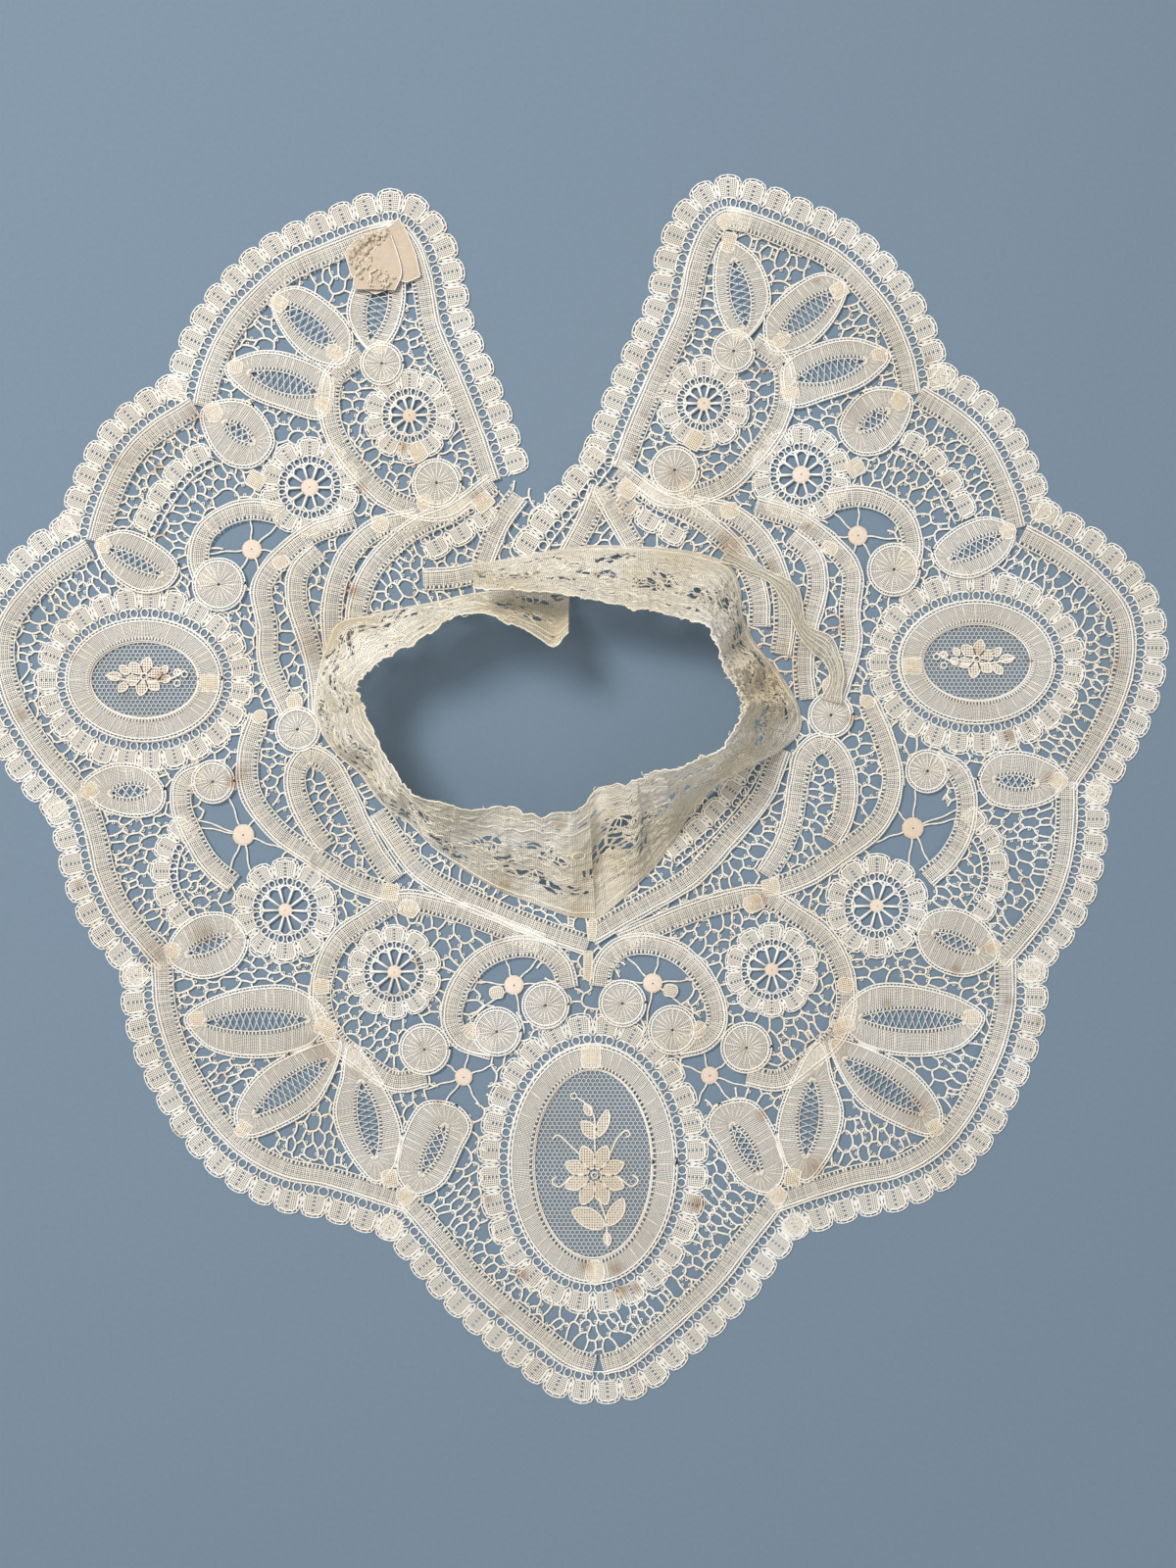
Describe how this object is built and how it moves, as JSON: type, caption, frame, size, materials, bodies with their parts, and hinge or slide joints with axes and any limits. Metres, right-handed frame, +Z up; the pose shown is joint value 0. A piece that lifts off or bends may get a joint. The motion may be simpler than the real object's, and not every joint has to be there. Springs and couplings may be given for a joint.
{
  "type": "lace collar",
  "caption": "Flat tape lace bertha collar with scalloped lobes, rosettes and net medallions, open at the back, with a sheer stand band leaning in round the neck.",
  "frame": {"origin": "middle of the collar's box, on the table it lies on", "axes": "+Z up from the table, -Y to the centre front, +Y to the centre back opening, +X to the viewer's right"},
  "size_m": [0.4302, 0.4378, 0.0447],
  "materials": {
    "woven_tape": "matt, thin woven cotton tape",
    "scalloped_braid": "matt, woven scalloped braid",
    "thread_ground": "matt, buttonholed thread bars",
    "net": "matt, fine hexagonal net",
    "stand_band_lawn": "sheer, crumpled, aged",
    "ribbon_patch": "matt, rumpled ribbon"
  },
  "bodies": {
    "root": {"contour_tape_back_left": "woven_tape", "contour_tape_back_right": "woven_tape", "contour_tape_front": "woven_tape", "edging_back_left": "scalloped_braid", "edging_back_right": "scalloped_braid", "edging_side_left": "scalloped_braid", "edging_side_right": "scalloped_braid", "edging_tip": "scalloped_braid", "ground_back_left": "thread_ground", "ground_back_right": "thread_ground", "ground_centre": "thread_ground", "ground_front_left": "thread_ground", "ground_front_right": "thread_ground", "ground_side_left": "thread_ground", "ground_side_right": "thread_ground", "ground_yoke_left": "thread_ground", "ground_yoke_right": "thread_ground", "inner_braid_b_left": "scalloped_braid", "inner_braid_b_right": "scalloped_braid", "inner_braid_d_left": "scalloped_braid", "inner_braid_d_right": "scalloped_braid", "medallion_braid_front": "scalloped_braid", "medallion_braid_left": "scalloped_braid", "medallion_braid_right": "scalloped_braid", "medallion_net_front": "net", "medallion_net_left": "net", "medallion_net_right": "net", "medallion_ring_front": "woven_tape", "medallion_ring_left": "woven_tape", "medallion_ring_right": "woven_tape", "neck_tape_back_left": "woven_tape", "neck_tape_back_right": "woven_tape", "neck_tape_front_left": "woven_tape", "neck_tape_front_right": "woven_tape", "palmette_back_left": "woven_tape", "palmette_back_right": "woven_tape", "palmette_front_left": "woven_tape", "palmette_front_right": "woven_tape", "ribbon_patch": "ribbon_patch", "rosette_a_left": "scalloped_braid", "rosette_a_right": "scalloped_braid", "rosette_b_left": "scalloped_braid", "rosette_b_right": "scalloped_braid", "rosette_d_left": "scalloped_braid", "rosette_d_right": "scalloped_braid", "rosette_e_left": "scalloped_braid", "rosette_e_right": "scalloped_braid", "scroll_b_left": "woven_tape", "scroll_b_right": "woven_tape", "scroll_c_left": "woven_tape", "scroll_c_right": "woven_tape", "side_hook_left": "woven_tape", "side_hook_right": "woven_tape", "stand_band_left": "stand_band_lawn", "stand_band_right": "stand_band_lawn", "yoke_tape_back_left": "woven_tape", "yoke_tape_back_right": "woven_tape", "yoke_tape_front_left": "woven_tape", "yoke_tape_front_right": "woven_tape"}
  },
  "joints": []
}
